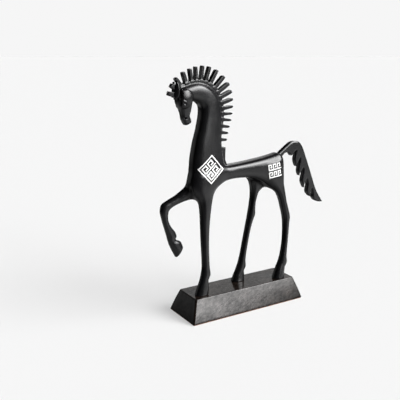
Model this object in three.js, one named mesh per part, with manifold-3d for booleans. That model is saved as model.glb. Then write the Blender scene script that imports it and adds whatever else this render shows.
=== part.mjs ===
// A stylised horse, cast in one piece, that paces on a tapered plinth.
// It faces -X, its left side is -Y, and the plinth's underside is at Z = 0. Sizes are in millimetres.
import * as THREE from "three";
import { mergeVertices } from "three/addons/utils/BufferGeometryUtils.js";
import Module from "manifold-3d";

const wasm = await Module();
wasm.setup();

// Driving dimensions.
const PLINTH = { length: 128.5, width: 46.5, topLength: 114, topWidth: 31, height: 22, edge: 1.2 };
const GROUND = PLINTH.height;
// How many corners a ring of each limb has, and how many steps a curve is drawn in.
const RING = { body: 20, leg: 12, head: 16, cheek: 16, eye: 8 };
const STEPS = { crest: 40, tailBack: 24, lock: 9, lockBack: 5, ear: 3 };
const MANE = {
  teeth: 19,
  thickness: 3.7,
  rootWidth: 3.2,
  tipWidth: 3,
  lowRootWidth: 4,
  lowTipWidth: 2.2,
  stubs: 2,
  stubWidth: 3.9,
  rootDepth: 2,
  edge: 0.3,
  pointedFrom: 11,
  pointedTo: 14,
  foreheadLength: 6.5,
  crownLength: 13,
  withersLength: 6,
  crownFrom: 8,
  crownTo: 10.5,
  fall: 0.8,
  bandDepth: 7,
  bandThickness: 4.2,
  bandEdge: 0.4,
};
const TAIL = { thickness: 5.4, bevelIn: 0.6, bevelAcross: 1.3 };
const EAR = {
  base: [-67.6, 204.5],
  tip: [-69.2, 218],
  footWidth: 2.6,
  swell: 6.6,
  swellAt: 0.55,
  thickness: 2,
  bevelIn: 0.6,
  bevelAcross: 0.8,
  side: 3,
  turn: 0.8,
};
const CHEEK = { x: -60.4, z: 204.6, radius: 7.5, halfWidth: 6.9 };
const EYE = { x: -62.6, z: 201.4, side: 6.1, length: 1.9, height: 1.3, bulge: 0.8 };
const WELD = 1e-4;
const SAME_POINT = 0.01;

/**
 * One rib of a limb: the two edge points that the outline passes through, half the width across,
 * and how far to the side its middle lies.
 */
const rib = (frontX, frontZ, backX, backZ, halfWidth, side = 0) => ({
  front: new THREE.Vector3(frontX, 0, frontZ),
  back: new THREE.Vector3(backX, 0, backZ),
  across: new THREE.Vector3(halfWidth, side, 0),
});

// The neck rises from the breast, arches over and runs forward into the head.
const NECK = {
  squareness: 3,
  ribs: [
    rib(-46.6, 112.6, -39.4, 112.6, 4),
    rib(-52.6, 117.6, -32.5, 118.4, 7.8),
    rib(-56, 127, -23, 127, 9.3),
    rib(-53.9, 139, -19, 137, 9.5),
    rib(-52.9, 151, -20.5, 150, 9),
    rib(-50.4, 164, -22.3, 163, 8.5),
    rib(-46.8, 177, -22.6, 176, 8),
    rib(-44.3, 190, -22.6, 189, 7.5),
    rib(-44.6, 196.8, -25.6, 202, 6.9),
    rib(-47.8, 200.4, -34.2, 212.8, 6.3),
    rib(-53, 202, -46.5, 217.2, 5.7),
    rib(-60, 203, -60, 214.6, 4.8),
  ],
};

// The trunk runs level from the shoulders to the rump; its ribs stand upright.
const TRUNK = {
  squareness: 3,
  ribs: [
    rib(-38, 138, -38, 121, 8),
    rib(-22, 141.4, -24, 126, 9),
    rib(-12, 141.9, -14, 128.2, 9),
    rib(0, 142.6, -1, 128.3, 8.8),
    rib(14, 143.9, 12, 126.4, 9),
    rib(27, 145.4, 24, 121, 9.3),
    rib(37, 147, 34, 114.2, 9.4),
    rib(43.5, 148, 42, 113, 9.1),
    rib(46.6, 146, 46.2, 117, 8),
    rib(47.2, 142, 47.4, 122, 6),
  ],
};

// The head hangs steeply, from the poll between the ears down to the muzzle.
const HEAD = {
  squareness: 2.8,
  ribs: [
    rib(-65, 213.6, -58.6, 213.8, 3),
    rib(-67.4, 209.4, -55, 209.4, 5.4),
    rib(-68.3, 204, -52.4, 204, 6.4),
    rib(-67.3, 199.4, -53, 198.6, 6),
    rib(-65, 195, -54, 193, 4.9),
    rib(-63.4, 190.5, -54.8, 189, 3.9),
    rib(-62.6, 187, -53.7, 186, 3.9),
    rib(-61.4, 184, -53.7, 183.4, 3.6),
    rib(-60, 181.6, -57, 181.3, 2),
  ],
};

// Every leg ends in a flat sole. Three soles stand on the plinth, and one foreleg is lifted.
const LEG_SQUARENESS = 2.2;
const LEGS = [
  // The left foreleg stands.
  [
    rib(-51, 134, -28, 134, 5, -3.6),
    rib(-52, 122.5, -31, 122.5, 5.2, -4.1),
    rib(-49.4, 115, -32.8, 115.4, 5.2, -4.6),
    rib(-47.5, 108, -34.7, 108, 4.9, -5.2),
    rib(-46.6, 99, -36.1, 99, 4.5, -5.6),
    rib(-46.4, 87, -37.5, 87, 4.1, -6),
    rib(-45.9, 71, -38.2, 71, 3.8, -6.4),
    rib(-45.2, 55, -37.9, 55, 3.7, -6.7),
    rib(-45.2, 48, -37.5, 48, 3.7, -6.8),
    rib(-46.1, 42, -36.7, 41.2, 4.1, -6.9),
    rib(-47.5, 36.5, -38.9, 35.6, 4, -7),
    rib(-49, 32.5, -38.8, 32, 4.3, -7),
    rib(-51.2, 27, -38.4, 27, 4.8, -7),
    rib(-53, GROUND, -39, GROUND, 5, -7),
  ],
  // The right foreleg is lifted.
  [
    rib(-50, 129, -41, 113, 5, 3.4),
    rib(-57.6, 123.4, -51.6, 112.4, 5, 4.4),
    rib(-65, 118, -61.8, 110.2, 4.6, 5.5),
    rib(-73.6, 114, -69.8, 107, 4.2, 6),
    rib(-80, 110.4, -72.8, 104.4, 3.9, 6),
    rib(-81.7, 104.8, -73.9, 100.5, 3.6, 6),
    rib(-80, 96.5, -73.7, 95.4, 3.3, 6),
    rib(-77.6, 88, -71, 89.4, 3.2, 6),
    rib(-75.7, 81.4, -66.5, 83.2, 3.4, 6),
    rib(-74.9, 78.6, -65.4, 79.4, 3.5, 6),
    rib(-73.9, 75, -66.2, 76.6, 3.4, 6),
    rib(-72.5, 70.8, -61.2, 73.6, 4.1, 6),
    rib(-66.4, 58.8, -59.1, 69, 4.7, 6),
  ],
  // The right hind leg steps forward.
  [
    rib(9, 133, 34, 132, 4.4, 3.8),
    rib(12, 126, 34, 118, 4.7, 4.2),
    rib(15, 120.4, 30.4, 113.8, 4.7, 4.6),
    rib(16.9, 114, 25.7, 109.8, 4.5, 4.9),
    rib(17.4, 107, 23.8, 105.2, 4.2, 5.2),
    rib(16.8, 100, 22.6, 99.6, 4, 5.4),
    rib(15.8, 94, 22.5, 93.6, 3.9, 5.5),
    rib(14.6, 87.6, 22.6, 88, 3.9, 5.6),
    rib(13.6, 82.4, 20.4, 82.2, 3.7, 5.7),
    rib(11.9, 73.6, 17.8, 74, 3.5, 5.8),
    rib(9.2, 60.6, 15.2, 61, 3.4, 5.9),
    rib(7.1, 49.8, 13.4, 50, 3.4, 6),
    rib(5.3, 42.6, 12.5, 42.2, 3.6, 6),
    rib(3.2, 36.6, 12.9, 35.8, 3.9, 6),
    rib(1.4, 32.4, 11.3, 31.6, 3.9, 6),
    rib(-0.5, 28.6, 11, 28, 4.3, 6),
    rib(-3, GROUND, 11.2, GROUND, 5.2, 6),
  ],
  // The left hind leg stands back.
  [
    rib(28, 139, 44, 141, 5.2, -3.8),
    rib(27.5, 127.6, 46.4, 130, 5.2, -4.1),
    rib(31.5, 121, 48, 121.6, 5.1, -4.4),
    rib(36.8, 114.6, 49.5, 114.6, 5, -4.9),
    rib(41.4, 107.4, 50.6, 108, 4.7, -5.4),
    rib(44.2, 101, 51.8, 101.4, 4.5, -5.7),
    rib(45.9, 94.4, 53.7, 94.6, 4.3, -6),
    rib(47.7, 87.4, 55.8, 87.8, 4.2, -6.3),
    rib(48.7, 82, 56.5, 83, 4.1, -6.5),
    rib(49.1, 76.4, 55.7, 76, 3.8, -6.8),
    rib(49, 67, 55, 67, 3.5, -7.2),
    rib(48.1, 57, 54, 57, 3.4, -7.7),
    rib(46.8, 49.6, 53.2, 50, 3.5, -8),
    rib(45.4, 44, 52.7, 43.6, 3.8, -8.3),
    rib(43, 38, 53.3, 36.8, 4, -8.5),
    rib(40.8, 33.8, 51.4, 32.6, 4.1, -8.7),
    rib(39.1, 29.6, 50.2, 29, 4.5, -8.8),
    rib(36.3, GROUND, 49.7, GROUND, 5.1, -9),
  ],
];

// The crest is the line between the teeth, from the forehead over the arch of the neck to the withers.
const CREST = [
  [-69.4, 204],
  [-67, 211.4],
  [-61.4, 217],
  [-53, 219.7],
  [-43.5, 220.2],
  [-34.5, 217.6],
  [-27.4, 212.2],
  [-22.6, 204.8],
  [-19.8, 196],
  [-19.2, 187],
  [-20.4, 177],
  [-21.6, 167],
  [-22, 158],
];
// The teeth are set by hand: evenly between these, each a tooth's number and its place along the crest.
const TOOTH_PLACES = [
  [0, 3.7],
  [2, 13.6],
  [4, 25.1],
  [5, 29.9],
  [7, 39.8],
  [8, 45.1],
  [9, 51.3],
  [12, 67.6],
  [15, 82.8],
  [16, 88.8],
  [17, 94.6],
  [18, 101.1],
];
// Below the last tooth the crest stays whole, as a short block that runs down to the back.
const MANE_FOOT = [
  [-26, 160],
  [-17, 158.6],
  [-17.2, 147],
  [-14.5, 141],
  [-26, 139],
];

// The tail rises from the croup, turns and falls. Its back edge is smooth.
const TAIL_BACK = [
  [42, 145.2],
  [53, 152.8],
  [60, 157],
  [65.6, 157.6],
  [70.4, 156.1],
  [74.7, 150.8],
  [80.1, 139.2],
  [87.5, 122],
  [95, 104.8],
  [104.3, 91.4],
];
// Its front edge breaks into locks, listed from the lowest. A lock's back runs down from the notch
// behind it to its point, and its front swells forward and runs up into the notch before it.
const TAIL_LOCKS = [
  {
    front: [
      [104.3, 91.4],
      [99.4, 91.7],
      [95.2, 93.2],
      [92.2, 95.4],
      [90.9, 97.9],
      [90.8, 100.6],
      [90.3, 103.6],
      [89.4, 107],
    ],
  },
  {
    back: [
      [89.4, 107],
      [88.2, 105.6],
      [87.2, 104],
      [87.4, 101.2],
      [87.8, 98.6],
    ],
    front: [
      [87.8, 98.6],
      [85.6, 100.2],
      [83.2, 102.8],
      [82.3, 105.2],
      [82.7, 108.5],
      [83.2, 111.5],
      [82.9, 114.6],
      [82, 117.8],
    ],
  },
  {
    back: [
      [82, 117.8],
      [81, 116.1],
      [79.9, 114.4],
      [79, 112],
      [79.1, 108.8],
    ],
    front: [
      [79.1, 108.8],
      [77.4, 111.4],
      [75.8, 114.8],
      [75.4, 117.6],
      [75.9, 120.6],
      [76.6, 123.4],
      [77, 126.6],
      [76.5, 129.6],
    ],
  },
  {
    back: [
      [76.5, 129.6],
      [75.8, 128.3],
      [74.4, 126.5],
      [72.6, 124.4],
      [72.2, 121.8],
    ],
    front: [
      [72.2, 121.8],
      [70.8, 124.8],
      [70.2, 127.8],
      [70.6, 131.4],
      [71.4, 134.6],
      [71.9, 137.2],
      [71.9, 140.3],
    ],
  },
  {
    back: [
      [71.9, 140.3],
      [71.1, 138.6],
      [69.5, 135.9],
      [68.3, 133.8],
      [67.5, 132.1],
    ],
    front: [
      [67.5, 132.1],
      [66, 135],
      [65.1, 138.3],
      [65, 140.5],
      [65.4, 142.8],
      [66, 145.2],
      [66.6, 148.2],
    ],
  },
];
const TAIL_UNDERSIDE = [
  [64.2, 146.6],
  [62.4, 144.4],
  [60.8, 143.5],
  [59.6, 144.3],
  [58.3, 146.2],
  [55.8, 147.4],
  [52.4, 146.7],
  [46, 141],
];

/** Gives a closed surface merged corner points, so that neighbouring faces share them. */
const weld = (geometry) => mergeVertices(geometry.deleteAttribute("normal").deleteAttribute("uv"), WELD);

/** Makes a solid of a closed surface, for joining and cutting. */
const solid = (geometry) => {
  const welded = weld(geometry);
  const vertProperties = new Float32Array(welded.attributes.position.array);
  const triVerts = new Uint32Array(welded.index.array);
  return new wasm.Manifold(new wasm.Mesh({ numProp: 3, vertProperties, triVerts }));
};

/** Turns a joined solid back into a surface. */
const surface = (joined) => {
  const { vertProperties, triVerts } = joined.getMesh();
  const geometry = new THREE.BufferGeometry();
  geometry.setAttribute("position", new THREE.BufferAttribute(vertProperties, 3));
  geometry.setIndex(new THREE.BufferAttribute(triVerts, 1));
  return geometry;
};

/** Rounds a circle's coordinate out towards a square, the more so the higher the squareness. */
const squared = (value, squareness) => Math.sign(value) * Math.abs(value) ** (2 / squareness);

/** Turns the faces round if the surface is inside out, which shows in the sign of its volume. */
const facingOut = (geometry) => {
  const { position } = geometry.attributes;
  const corners = geometry.index.array;
  const [a, b, c] = [new THREE.Vector3(), new THREE.Vector3(), new THREE.Vector3()];
  let volume = 0;
  for (let i = 0; i < corners.length; i += 3) {
    [a, b, c].forEach((corner, k) => corner.fromBufferAttribute(position, corners[i + k]));
    volume += a.dot(b.cross(c));
  }
  if (volume < 0) corners.reverse();
  return geometry;
};

/** Stretches a skin over ribs: smooth curves join their edges, and rings of points lie between them. */
const loft = (ribs, sides, squareness) => {
  const fronts = new THREE.CatmullRomCurve3(ribs.map((r) => r.front));
  const backs = new THREE.CatmullRomCurve3(ribs.map((r) => r.back));
  const widths = new THREE.CatmullRomCurve3(ribs.map((r) => r.across));
  const rings = (ribs.length - 1) * 2;
  const positions = [];
  const index = [];
  for (let ring = 0; ring <= rings; ring++) {
    const front = fronts.getPoint(ring / rings);
    const back = backs.getPoint(ring / rings);
    const { x: halfWidth, y: side } = widths.getPoint(ring / rings);
    const middle = front.clone().add(back).multiplyScalar(0.5);
    const reach = front.sub(middle);
    for (let corner = 0; corner < sides; corner++) {
      const angle = ((corner + 0.5) / sides) * 2 * Math.PI;
      const along = squared(Math.cos(angle), squareness);
      const sideways = squared(Math.sin(angle), squareness);
      positions.push(middle.x + along * reach.x, side + sideways * halfWidth, middle.z + along * reach.z);
    }
  }
  for (let ring = 0; ring < rings; ring++) {
    for (let corner = 0; corner < sides; corner++) {
      const a = ring * sides + corner;
      const b = ring * sides + ((corner + 1) % sides);
      index.push(a, a + sides, b, b, a + sides, b + sides);
    }
  }
  const last = rings * sides;
  for (let corner = 1; corner < sides - 1; corner++) {
    index.push(0, corner, corner + 1, last, last + corner + 1, last + corner);
  }
  const geometry = new THREE.BufferGeometry();
  geometry.setAttribute("position", new THREE.Float32BufferAttribute(positions, 3));
  geometry.setIndex(index);
  return facingOut(geometry);
};

/** Extrudes an outline drawn in X and Z to a plate that is centred on Y = 0, with bevelled edges. */
const plate = (shape, thickness, bevelIn, bevelAcross) => {
  const geometry = new THREE.ExtrudeGeometry(shape, {
    depth: thickness - 2 * bevelAcross,
    bevelEnabled: bevelIn > 0,
    bevelSize: bevelIn,
    bevelOffset: -bevelIn,
    bevelThickness: bevelAcross,
    bevelSegments: 1,
    curveSegments: STEPS.ear,
  });
  return geometry.translate(0, 0, bevelAcross - thickness / 2).rotateX(Math.PI / 2);
};

const points = (pairs) => pairs.map(([x, z]) => new THREE.Vector2(x, z));

/** How far along the crest a tooth stands, counted from the forehead. */
const toothPlace = (tooth) => {
  const next = TOOTH_PLACES.findIndex(([counted]) => counted >= tooth && counted > 0);
  const [fromTooth, from] = TOOTH_PLACES[next - 1];
  const [toTooth, to] = TOOTH_PLACES[next];
  return THREE.MathUtils.mapLinear(tooth, fromTooth, toTooth, from, to);
};

/** The length of a tooth, counted from the forehead: longest over the arch of the neck. */
const toothLength = (tooth) => {
  const { foreheadLength, crownLength, withersLength, crownFrom, crownTo, fall, teeth } = MANE;
  if (tooth < crownFrom) {
    const rise = THREE.MathUtils.smoothstep(tooth, 0, crownFrom);
    return THREE.MathUtils.lerp(foreheadLength, crownLength, rise);
  }
  const past = THREE.MathUtils.clamp((tooth - crownTo) / (teeth - 1 - crownTo), 0, 1);
  return THREE.MathUtils.lerp(crownLength, withersLength, past ** fall);
};

/** One tooth: a bar that stands on the crest at right angles to it. The lower teeth are pointed. */
const maneTooth = (crest, tooth) => {
  const at = toothPlace(tooth) / crest.getLength();
  const root = crest.getPointAt(at);
  const along = crest.getTangentAt(at);
  const pointed = THREE.MathUtils.smoothstep(tooth, MANE.pointedFrom, MANE.pointedTo);
  const stub = tooth < MANE.stubs;
  const rootWidth = stub ? MANE.stubWidth : MANE.rootWidth;
  const tipWidth = stub ? MANE.stubWidth : MANE.tipWidth;
  const tip = THREE.MathUtils.lerp(tipWidth, MANE.lowTipWidth, pointed) / 2;
  const half = THREE.MathUtils.lerp(rootWidth, MANE.lowRootWidth, pointed) / 2;
  const length = toothLength(tooth);
  const shape = new THREE.Shape(
    points([
      [-half, -MANE.rootDepth],
      [half, -MANE.rootDepth],
      [tip, length],
      [-tip, length],
    ])
  );
  return plate(shape, MANE.thickness, MANE.edge, MANE.edge)
    .rotateY(-along.angle())
    .translate(root.x, 0, root.y);
};

/** The whole mane: a band along the crest, the teeth on it and the block at its foot. */
const mane = () => {
  const crest = new THREE.SplineCurve(points(CREST));
  const outer = crest.getSpacedPoints(STEPS.crest);
  const inner = outer.map((point, i) => {
    const inward = crest.getTangentAt(i / STEPS.crest).rotateAround(new THREE.Vector2(), -Math.PI / 2);
    return point.clone().addScaledVector(inward, MANE.bandDepth);
  });
  const outlines = [[...outer, ...inner.reverse()], points(MANE_FOOT)];
  const bands = outlines.map((outline) =>
    plate(new THREE.Shape(outline), MANE.bandThickness, MANE.bandEdge, MANE.bandEdge)
  );
  const teeth = Array.from({ length: MANE.teeth }, (_, tooth) => maneTooth(crest, tooth));
  return [...bands, ...teeth];
};

const tail = () => {
  const outline = new THREE.SplineCurve(points(TAIL_BACK)).getPoints(STEPS.tailBack);
  for (const { back, front } of TAIL_LOCKS) {
    if (back) outline.push(...new THREE.SplineCurve(points(back)).getPoints(STEPS.lockBack));
    outline.push(...new THREE.SplineCurve(points(front)).getPoints(STEPS.lock));
  }
  outline.push(...points(TAIL_UNDERSIDE));
  const unique = outline.filter((point, i) => i === 0 || point.distanceTo(outline[i - 1]) > SAME_POINT);
  return plate(new THREE.Shape(unique), TAIL.thickness, TAIL.bevelIn, TAIL.bevelAcross);
};

/** One ear: an upright leaf that is turned outwards. */
const ear = (hand) => {
  const [baseX, baseZ] = EAR.base;
  const [tipX, tipZ] = EAR.tip;
  const height = tipZ - baseZ;
  const leaf = new THREE.Shape();
  leaf.moveTo(-EAR.footWidth / 2, 0);
  leaf.quadraticCurveTo(-EAR.swell / 2, height * EAR.swellAt, 0, height);
  leaf.quadraticCurveTo(EAR.swell / 2, height * EAR.swellAt, EAR.footWidth / 2, 0);
  return plate(leaf, EAR.thickness, EAR.bevelIn, EAR.bevelAcross)
    .rotateZ(hand * (Math.PI / 2 - EAR.turn))
    .rotateY(Math.atan2(tipX - baseX, height))
    .translate(baseX, hand * EAR.side, baseZ);
};

const ball = (x, y, z, radiusX, radiusY, radiusZ, detail) =>
  new THREE.SphereGeometry(1, detail, detail / 2).scale(radiusX, radiusY, radiusZ).translate(x, y, z);

const horse = () => {
  const parts = [
    loft(NECK.ribs, RING.body, NECK.squareness),
    loft(TRUNK.ribs, RING.body, TRUNK.squareness),
    loft(HEAD.ribs, RING.head, HEAD.squareness),
    ball(CHEEK.x, 0, CHEEK.z, CHEEK.radius, CHEEK.halfWidth, CHEEK.radius, RING.cheek),
    ...LEGS.map((ribs) => loft(ribs, RING.leg, LEG_SQUARENESS)),
    ...mane(),
    tail(),
  ];
  for (const hand of [-1, 1]) {
    const eye = ball(EYE.x, hand * EYE.side, EYE.z, EYE.length, EYE.bulge, EYE.height, RING.eye);
    parts.push(ear(hand), eye);
  }
  return surface(parts.map(solid).reduce((whole, part) => whole.add(part)));
};

/** The plinth: a truncated pyramid on an oblong foot, with all its edges eased. */
const plinth = () => {
  const { length, width, topLength, topWidth, height, edge } = PLINTH;
  const ring = (z, long, wide) => {
    const [x, y] = [long / 2, wide / 2];
    const corners = [[x, -y + edge], [x, y - edge], [x - edge, y], [-x + edge, y]];
    corners.push([-x, y - edge], [-x, -y + edge], [-x + edge, -y], [x - edge, -y]);
    return corners.map(([cornerX, cornerY]) => [cornerX, cornerY, z]);
  };
  const rise = edge / height;
  const rings = [
    ring(0, length - 2 * edge, width - 2 * edge),
    ring(edge, length - rise * (length - topLength), width - rise * (width - topWidth)),
    ring(height - edge, topLength + rise * (length - topLength), topWidth + rise * (width - topWidth)),
    ring(height, topLength - edge, topWidth - edge),
  ];
  const sides = rings[0].length;
  const index = [];
  for (let level = 0; level < rings.length - 1; level++) {
    for (let corner = 0; corner < sides; corner++) {
      const a = level * sides + corner;
      const b = level * sides + ((corner + 1) % sides);
      index.push(a, b, a + sides, b, b + sides, a + sides);
    }
  }
  const top = (rings.length - 1) * sides;
  for (let corner = 1; corner < sides - 1; corner++) {
    index.push(0, corner + 1, corner, top, top + corner, top + corner + 1);
  }
  const geometry = new THREE.BufferGeometry();
  geometry.setAttribute("position", new THREE.Float32BufferAttribute(rings.flat(2), 3));
  geometry.setIndex(index);
  return geometry;
};

const castMetal = new THREE.MeshStandardMaterial({ color: "#141416", metalness: 0.7, roughness: 0.4 });
const stainedWood = new THREE.MeshStandardMaterial({ color: "#161412", metalness: 0, roughness: 0.45 });

const named = (name, geometry, material) => {
  const mesh = new THREE.Mesh(geometry, material);
  mesh.name = name;
  return mesh;
};

const sculpture = new THREE.Group();
sculpture.add(named("horse", horse(), castMetal));
sculpture.add(named("base", plinth(), stainedWood));

export default sculpture;
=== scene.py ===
"""A stylised horse, cast in black metal, that paces on a black-stained wooden plinth.

The horse faces -X, its left side is -Y and the plinth's underside lies at Z = 0. Sizes are in
millimetres in the classes below and in metres in the scene.
"""

import logging
import math
from dataclasses import dataclass, field
from enum import Enum
from typing import Any, Sequence

import bmesh
import bpy
import numpy as np
import openvdb
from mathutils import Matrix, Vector

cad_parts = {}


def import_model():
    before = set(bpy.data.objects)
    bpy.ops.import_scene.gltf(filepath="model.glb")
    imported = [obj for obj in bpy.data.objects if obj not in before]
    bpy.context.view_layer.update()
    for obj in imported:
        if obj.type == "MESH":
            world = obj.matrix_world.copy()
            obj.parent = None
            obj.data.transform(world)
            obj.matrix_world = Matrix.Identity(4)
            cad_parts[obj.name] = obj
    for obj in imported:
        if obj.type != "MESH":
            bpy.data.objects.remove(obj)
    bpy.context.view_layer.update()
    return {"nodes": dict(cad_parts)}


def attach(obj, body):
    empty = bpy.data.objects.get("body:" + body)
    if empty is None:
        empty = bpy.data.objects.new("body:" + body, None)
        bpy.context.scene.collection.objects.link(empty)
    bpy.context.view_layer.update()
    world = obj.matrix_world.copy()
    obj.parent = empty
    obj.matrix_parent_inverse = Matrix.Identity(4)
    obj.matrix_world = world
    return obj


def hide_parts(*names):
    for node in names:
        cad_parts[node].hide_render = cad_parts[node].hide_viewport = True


LOG = logging.getLogger("horse")

Pair = tuple[float, float]
Triple = tuple[float, float, float]

# One millimetre in metres.
METRES = 0.001
# The height of the plinth's top, on which the hooves stand.
GROUND = 22.0
# The middle of the cheeks in X and Z, which the groove in the neck runs round.
CHEEK_MIDDLE: Pair = (-62.8, 204.1)
# The legs' sections are nearly round.
LEG_SQUARENESS = 2.2

# Limits that keep divisions safe: the least gap between a curve's points, and a shape's least slope.
LEAST_GAP = 1e-8
LEAST_SLOPE = 0.05
# How many steps below its grid's upper end a place is kept when values are read between the steps.
INSIDE = 1.001


class Spacing(Enum):
    """How a curve through points spaces its knots."""

    UNIFORM = 0.0
    CENTRIPETAL = 0.25


def through(points: Sequence[Sequence[float]], at: np.ndarray, spacing: Spacing) -> np.ndarray:
    """Reads a smooth curve that passes through points.

    Args:
        points: The points that the curve passes through, in order.
        at: Where to read the curve, from 0 at the first point to 1 at the last.
        spacing: How the curve spaces its knots.

    Returns:
        One row for each place that was read.
    """
    p = np.asarray(points, float)
    before, after = 2 * p[0] - p[1], 2 * p[-1] - p[-2]
    if spacing is Spacing.UNIFORM:
        before, after = p[0], p[-1]
    p = np.vstack([before, p, after])
    place = np.clip(at, 0, 1) * (len(p) - 3)
    first = np.minimum(place.astype(int), len(p) - 4)
    t = (place - first)[:, None]
    a, b, c, d = (p[first + k] for k in range(4))
    spans = ((b, a), (c, b), (d, c))
    gaps = [np.maximum(((q - r) ** 2).sum(1), LEAST_GAP) ** spacing.value for q, r in spans]
    ga, gb, gc = (gap[:, None] for gap in gaps)
    leave = ((b - a) / ga - (c - a) / (ga + gb) + (c - b) / gb) * gb
    arrive = ((c - b) / gb - (d - b) / (gb + gc) + (d - c) / gc) * gb
    quadratic = 3 * (c - b) - 2 * leave - arrive
    cubic = 2 * (b - c) + leave + arrive
    return b + leave * t + quadratic * (t * t) + cubic * (t * t * t)


def outward_edge_distance(outline: np.ndarray, x: np.ndarray, z: np.ndarray) -> np.ndarray:
    """Works out how far places lie outside a closed outline.

    Args:
        outline: The outline's corners, one row each.
        x: The places' first coordinates.
        z: The places' second coordinates.

    Returns:
        The distance to the outline, negative inside it.
    """
    nearest = np.full(x.shape, np.inf)
    inside = np.zeros(x.shape, bool)
    for (ax, az), (bx, bz) in zip(outline, np.roll(outline, -1, axis=0)):
        run_x, run_z = bx - ax, bz - az
        square = run_x**2 + run_z**2
        if square == 0:
            continue
        along = np.clip(((x - ax) * run_x + (z - az) * run_z) / square, 0, 1)
        nearest = np.minimum(nearest, (x - ax - along * run_x) ** 2 + (z - az - along * run_z) ** 2)
        if az != bz:
            inside ^= ((az > z) != (bz > z)) & (x < ax + (z - az) / (bz - az) * run_x)
    return np.sqrt(nearest) * np.where(inside, -1, 1)


def joined(first: np.ndarray, second: np.ndarray, fillet: float) -> np.ndarray:
    """Joins two shapes, given by their distances, with a fillet of about the given size."""
    near = np.maximum(fillet - np.abs(first - second), 0) / fillet
    return np.minimum(first, second) - near**2 * fillet / 4


def carved(shape: np.ndarray, tool: np.ndarray, ease: float) -> np.ndarray:
    """Cuts a tool's shape out of another shape and eases the cut's edge."""
    return -joined(-shape, tool, ease)


@dataclass(frozen=True)
class Ball:
    """A ball that is stretched along its own axes, and set into a shape or cut out of it.

    The tilt turns it nose down about Y, in degrees. The ease is the size of the fillet round it.
    """

    middle: Triple
    radii: Triple
    ease: float
    tilt: float = 0.0
    cut: bool = False


@dataclass(frozen=True)
class Disc:
    """An upright disc with domed faces and a rounded rim. Its middle and bulge are places in X and Z.

    The faces stand out most at the bulge, where half the width is given. It drops by `dome` times the
    square of the distance from there, up to `dome_reach` radii away.
    """

    middle: Pair
    bulge: Pair
    radius: float
    half_width: float
    dome: float
    rim: float
    dome_reach: float = 1.3


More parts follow.
